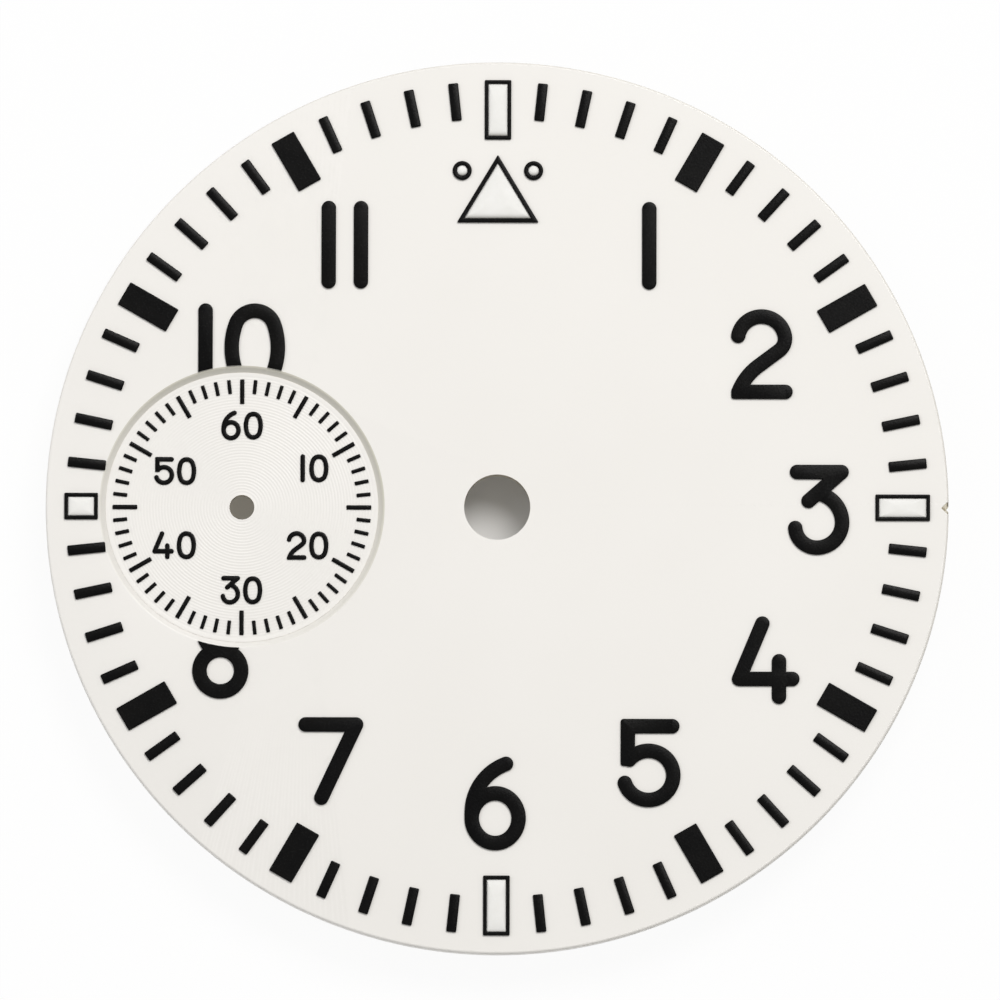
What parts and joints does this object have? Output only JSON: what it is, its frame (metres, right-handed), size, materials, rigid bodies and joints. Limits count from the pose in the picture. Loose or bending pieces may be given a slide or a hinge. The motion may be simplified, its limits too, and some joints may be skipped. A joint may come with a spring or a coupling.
{
  "type": "watch_dial",
  "caption": "Round white wristwatch dial with raised black hour figures, luminous quarter frames, a minute track and a sunken small seconds at nine",
  "frame": {"origin": "centre of the hand hole, on the underside of the plate where it rests on the movement", "axes": "+Z out of the face towards the reader, +Y towards twelve o'clock, +X towards three o'clock; the small seconds lies towards -X"},
  "size_m": [0.0388, 0.0388, 0.0029],
  "materials": {
    "brass": "fine turned, unpolished back",
    "white_lacquer": "satin off-white lacquer",
    "copper": "turned copper",
    "black_print": "raised black lacquer, low gloss",
    "lume": "domed off-white luminous paste, fine grain"
  },
  "bodies": {
    "root": {"dial_plate": "brass", "small_seconds_disc": "brass", "plate_lacquer": "white_lacquer", "disc_lacquer": "white_lacquer", "dial_foot_1": "copper", "dial_foot_2": "copper", "minute_bars_after_12": "black_print", "minute_bars_after_1": "black_print", "minute_bars_after_2": "black_print", "minute_bars_after_3": "black_print", "minute_bars_after_4": "black_print", "minute_bars_after_5": "black_print", "minute_bars_after_6": "black_print", "minute_bars_after_7": "black_print", "minute_bars_after_8": "black_print", "minute_bars_after_9": "black_print", "minute_bars_after_10": "black_print", "minute_bars_after_11": "black_print", "hour_block_1": "black_print", "hour_block_2": "black_print", "hour_block_4": "black_print", "hour_block_5": "black_print", "hour_block_7": "black_print", "hour_block_8": "black_print", "hour_block_10": "black_print", "hour_block_11": "black_print", "hour_frame_12": "black_print", "frame_lume_12": "lume", "hour_frame_3": "black_print", "frame_lume_3": "lume", "hour_frame_6": "black_print", "frame_lume_6": "lume", "hour_frame_9": "black_print", "frame_lume_9": "lume", "triangle_frame": "black_print", "triangle_lume": "lume", "dot_ring_left": "black_print", "dot_lume_left": "lume", "dot_ring_right": "black_print", "dot_lume_right": "lume", "numeral_1": "black_print", "numeral_2": "black_print", "numeral_3": "black_print", "numeral_4": "black_print", "numeral_5": "black_print", "numeral_6": "black_print", "numeral_7": "black_print", "numeral_8": "black_print", "numeral_10": "black_print", "numeral_11": "black_print", "five_second_bars": "black_print", "second_bars": "black_print", "seconds_numeral_60": "black_print", "seconds_numeral_10": "black_print", "seconds_numeral_20": "black_print", "seconds_numeral_30": "black_print", "seconds_numeral_40": "black_print", "seconds_numeral_50": "black_print"}
  },
  "joints": []
}
